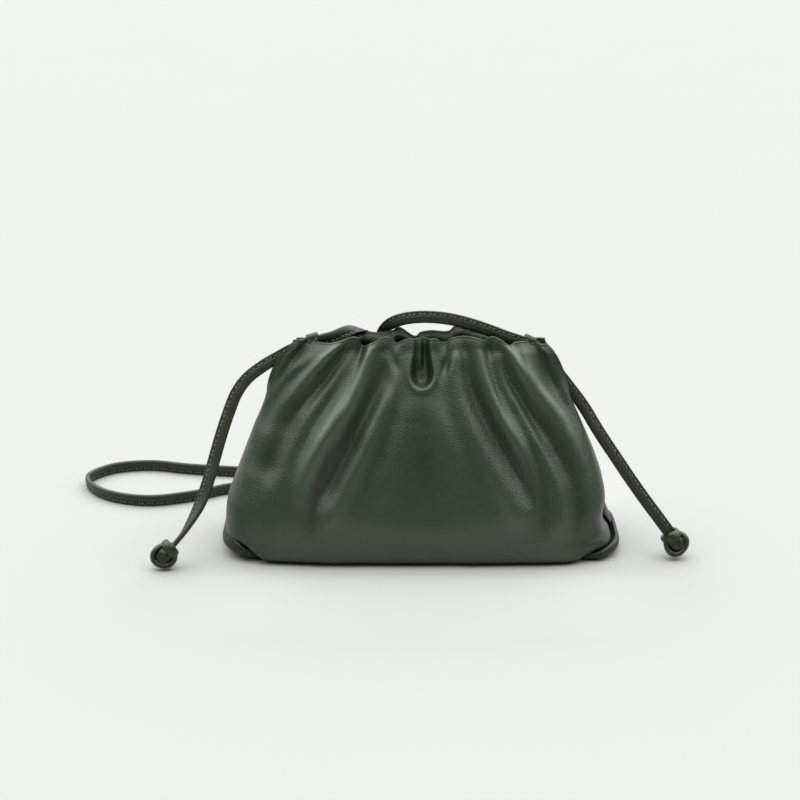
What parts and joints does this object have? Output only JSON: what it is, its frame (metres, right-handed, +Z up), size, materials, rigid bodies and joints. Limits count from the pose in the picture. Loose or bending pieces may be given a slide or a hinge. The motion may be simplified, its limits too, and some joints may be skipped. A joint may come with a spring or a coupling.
{
  "type": "cloud pouch bag",
  "caption": "Small gathered pouch bag of soft leather with a flat tray base, an open gathered mouth and a long narrow strap knotted at both ends.",
  "frame": {"origin": "on the floor, under the middle of the bag's base", "axes": "+Z up, the front faces -Y, +X to the right seen from the front"},
  "size_m": [0.3791, 0.1765, 0.1426],
  "materials": {
    "panel_leather": "smooth satin nappa, dark green",
    "base_leather": "smooth satin nappa, dark green",
    "strap_leather": "smooth satin leather, dark green, one row of light stitches"
  },
  "bodies": {
    "root": {"front_panel": "panel_leather", "back_panel": "panel_leather", "base": "base_leather", "left_keeper": "strap_leather", "right_keeper": "strap_leather", "shoulder_strap": "strap_leather", "left_tail": "strap_leather", "right_tail": "strap_leather", "left_knot": "strap_leather", "right_knot": "strap_leather"}
  },
  "joints": []
}
